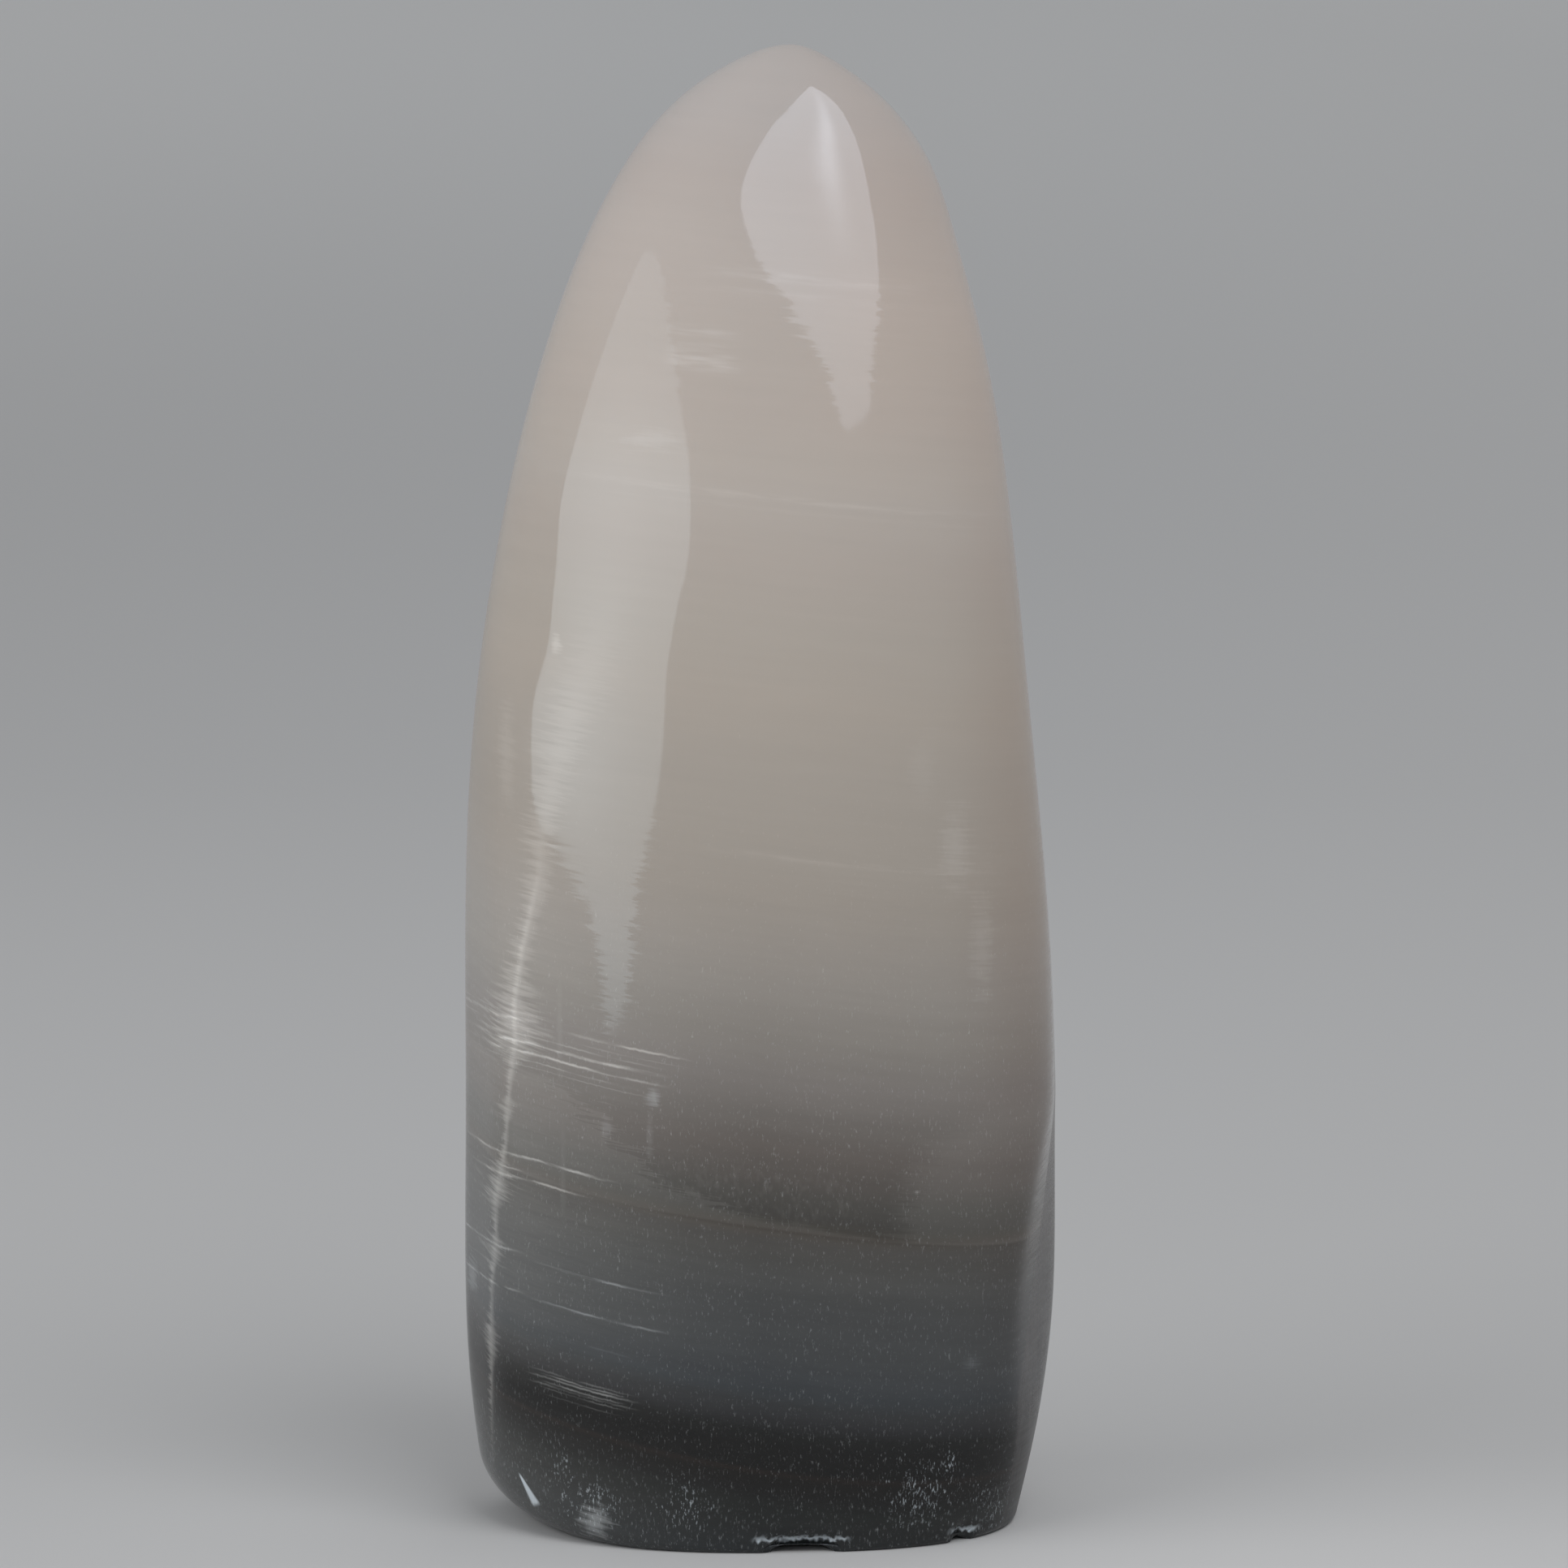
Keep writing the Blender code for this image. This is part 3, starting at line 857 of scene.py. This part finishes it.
# soft lamps: azimuth and elevation in degrees seen from the stone, distance and side in metres, watts, colour
lamps = dict(
    left=(-60, 20, 1.1, 0.9, 4.2, (1.0, 1.0, 1.0)),
    top=(35, 52, 1.1, 0.7, 3.4, (1.0, 1.0, 1.0)),
    back=(150, 40, 1.1, 0.9, 1.0, (1.0, 1.0, 1.0)),
)
lampAim = (0.0, 0.0, 0.055)  # the point that they shine at, in metres
sky = dict(colour=(0.97, 0.985, 1.0), strength=0.36)

# the two bright windows that shine in the polish: distance, colour, where across the brighter core lies
# and its half width, then rows of the photo: row, left edge, right edge in its pixels, brightness, how much
# more there is at the core
windows = dict(
    left_window=(0.26, (2.05, 2.28, 2.42), (0.42, 0.34), (
        (309, 796, 799, 0.50, 0.0), (327, 785, 813, 0.50, 0.0), (408, 752, 826, 0.54, 0.0),
        (485, 726, 837, 0.66, 0.0), (561, 704, 848, 0.80, 0.1), (628, 690, 851, 0.90, 0.2),
        (689, 686, 848, 0.90, 0.3), (740, 681, 836, 0.88, 0.4), (796, 675, 826, 0.88, 0.5),
        (850, 660, 820, 0.88, 0.6), (904, 655, 818, 0.90, 0.6), (976, 656, 810, 0.90, 0.5),
        (1027, 671, 800, 0.95, 0.2), (1088, 713, 785, 0.95, 0.0), (1159, 734, 780, 0.90, 0.0),
        (1236, 748, 772, 0.85, 0.0), (1264, 756, 760, 0.80, 0.0),
    )),
    top_window=(0.5, (2.4, 2.55, 2.85), (0.60, 0.10), (
        (107, 997, 1001, 1.1, 0.0), (128, 977, 1030, 1.15, 0.5), (168, 943, 1053, 1.12, 1.2),
        (224, 916, 1068, 1.06, 1.1), (281, 919, 1078, 1.0, 0.4), (347, 953, 1083, 0.92, 0.0),
        (408, 992, 1080, 0.88, 0.0), (459, 1019, 1074, 0.80, 0.0), (505, 1031, 1071, 0.75, 0.0),
        (529, 1042, 1046, 0.75, 0.0),
    )),
)
windowGrid = dict(along=97, across=33)  # points in each window's sheet


# where a ray through a pixel of the photo meets the stone, and the way it is thrown back
def mirrored(tree, mesh, column, row):
    half = camera["photoSide"] / 2
    focal = camera["lens"] / camera["sensor"] * camera["photoSide"]
    down = math.radians(camera["lookDown"])
    right, up = (column - half) / focal, (half - row) / focal
    forward, upward = math.cos(down) + up * math.sin(down), up * math.cos(down) - math.sin(down)
    way = Vector((right, forward, upward)).normalized()
    place, flat, index, distance = tree.ray_cast(Vector(camera["place"]) * mm, way)
    corners = [mesh.vertices[i] for i in mesh.polygons[index].vertices]
    shares = poly_3d_calc([corner.co for corner in corners], place)
    normal = sum((corner.normal * share for corner, share in zip(corners, shares)), Vector()).normalized()
    return place, way.reflect(normal)


# a glowing sheet whose mirror image in the stone has the outline given:
# its two long edges lie on the thrown-back rays, and straight lines join them
def buildWindow(name, tree, mesh, reach, colour, core, rows):
    table = np.array(rows, float)
    edges = []
    for side in (1, 2):
        rays = [mirrored(tree, mesh, row[side], row[0]) for row in rows]
        edges.append(np.array([place + way * reach for place, way in rays]))
    steps = np.linspace(0, len(rows) - 1, windowGrid["along"])
    knots = np.arange(len(rows), dtype=float)
    left, right = [np.stack([curveThrough(steps, knots, edge[:, k]) for k in range(3)], -1) for edge in edges]
    across = np.linspace(0, 1, windowGrid["across"])
    points = left[:, None] * (1 - across[:, None]) + right[:, None] * across[:, None]
    middle, half = core
    inCore = np.exp(-(((across - middle) / half) ** 2))
    plain, more = [np.interp(steps, knots, table[:, column])[:, None] for column in (3, 4)]
    glow = plain + more * inCore
    ids = np.arange(points[..., 0].size).reshape(points.shape[:2])
    quads = np.stack([ids[:-1, :-1], ids[:-1, 1:], ids[1:, 1:], ids[1:, :-1]], -1).reshape(-1, 4)
    sheet = bpy.data.meshes.new(name)
    sheet.from_pydata(points.reshape(-1, 3).tolist(), [], quads.tolist())
    tint = sheet.attributes.new("glow", "FLOAT_COLOR", "POINT")
    shade = glow.reshape(-1, 1) * np.array(colour)
    tint.data.foreach_set("color", np.c_[shade, np.ones(len(shade))].ravel())
    panel = bpy.data.objects.new(name, sheet)
    bpy.context.scene.collection.objects.link(panel)
    shop = Shop(name + "_glow")
    tinted = shop.node("ShaderNodeAttribute", {"attribute_name": "glow"}, {})
    shader = shop.node("ShaderNodeEmission", {}, {"Color": tinted, "Strength": 1.0})
    shop.node("ShaderNodeOutputMaterial", {}, {"Surface": shader})
    shop.material.cycles.emission_sampling = "NONE"  # it only shows in the polish, and lights nothing
    sheet.materials.append(shop.material)
    panel.visible_camera = panel.visible_diffuse = panel.visible_shadow = panel.visible_transmission = False


def buildLights(piece):
    world = bpy.data.worlds.new("soft_sky")
    world.use_nodes = True
    back = world.node_tree.nodes["Background"]
    back.inputs["Color"].default_value = (*sky["colour"], 1)
    back.inputs["Strength"].default_value = sky["strength"]
    bpy.context.scene.world = world
    for name, (azimuth, elevation, distance, side, watts, colour) in lamps.items():
        a, e = math.radians(azimuth), math.radians(elevation)
        way = Vector((math.sin(a) * math.cos(e), -math.cos(a) * math.cos(e), math.sin(e)))
        data = bpy.data.lights.new(name + "_lamp", "AREA")
        data.size = side
        data.energy = watts
        data.color = colour
        lamp = bpy.data.objects.new(name + "_lamp", data)
        lamp.location = Vector(lampAim) + way * distance
        lamp.rotation_euler = way.to_track_quat("Z", "Y").to_euler()
        lamp.visible_glossy = False
        lamp.visible_camera = False
        bpy.context.scene.collection.objects.link(lamp)
    tree = BVHTree.FromObject(piece, bpy.context.evaluated_depsgraph_get())
    for name, (reach, colour, core, rows) in windows.items():
        buildWindow(name, tree, piece.data, reach, colour, core, rows)


buildCamera()
buildBackdrop()
print("camera and floor: ready")
calcite = buildStone()
calcite.data.materials.append(stoneMaterial())
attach(calcite, "root")
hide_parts("calcite_stone")
buildLights(calcite)
bpy.context.scene.view_settings.view_transform = "Standard"
print("lights: ready")
